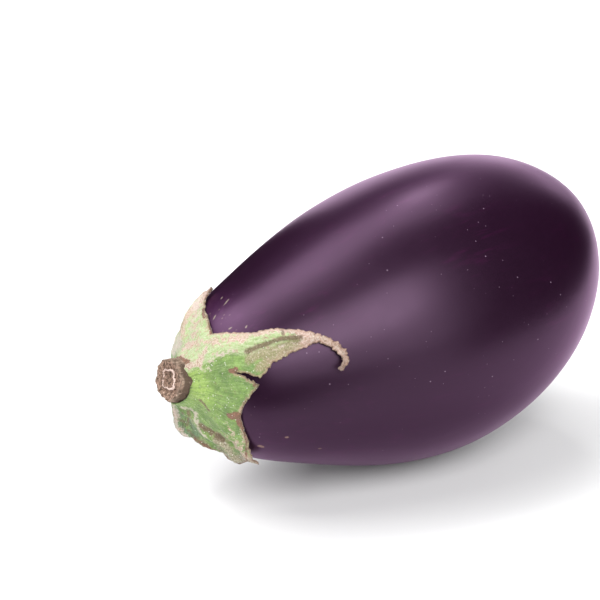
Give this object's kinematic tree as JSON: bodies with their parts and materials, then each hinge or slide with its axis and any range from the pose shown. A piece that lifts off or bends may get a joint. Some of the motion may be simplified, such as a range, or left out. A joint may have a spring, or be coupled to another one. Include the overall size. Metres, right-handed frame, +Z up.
{
  "type": "eggplant",
  "caption": "Whole pear-shaped eggplant lying on its side, with a green calyx, one long hooked sepal and a cut stem stump.",
  "frame": {"origin": "middle of the bounding box, on the surface that the eggplant lies on", "axes": "+X from the stem end to the blossom end, +Z up"},
  "size_m": [0.1722, 0.0958, 0.097],
  "materials": {
    "skin": "glossy dark purple skin",
    "calyx": "matt green with brown corky edges",
    "stem": "rough brown bark and cut wood"
  },
  "bodies": {
    "root": {"fruit": "skin", "calyx": "calyx", "stem": "stem"}
  },
  "joints": []
}
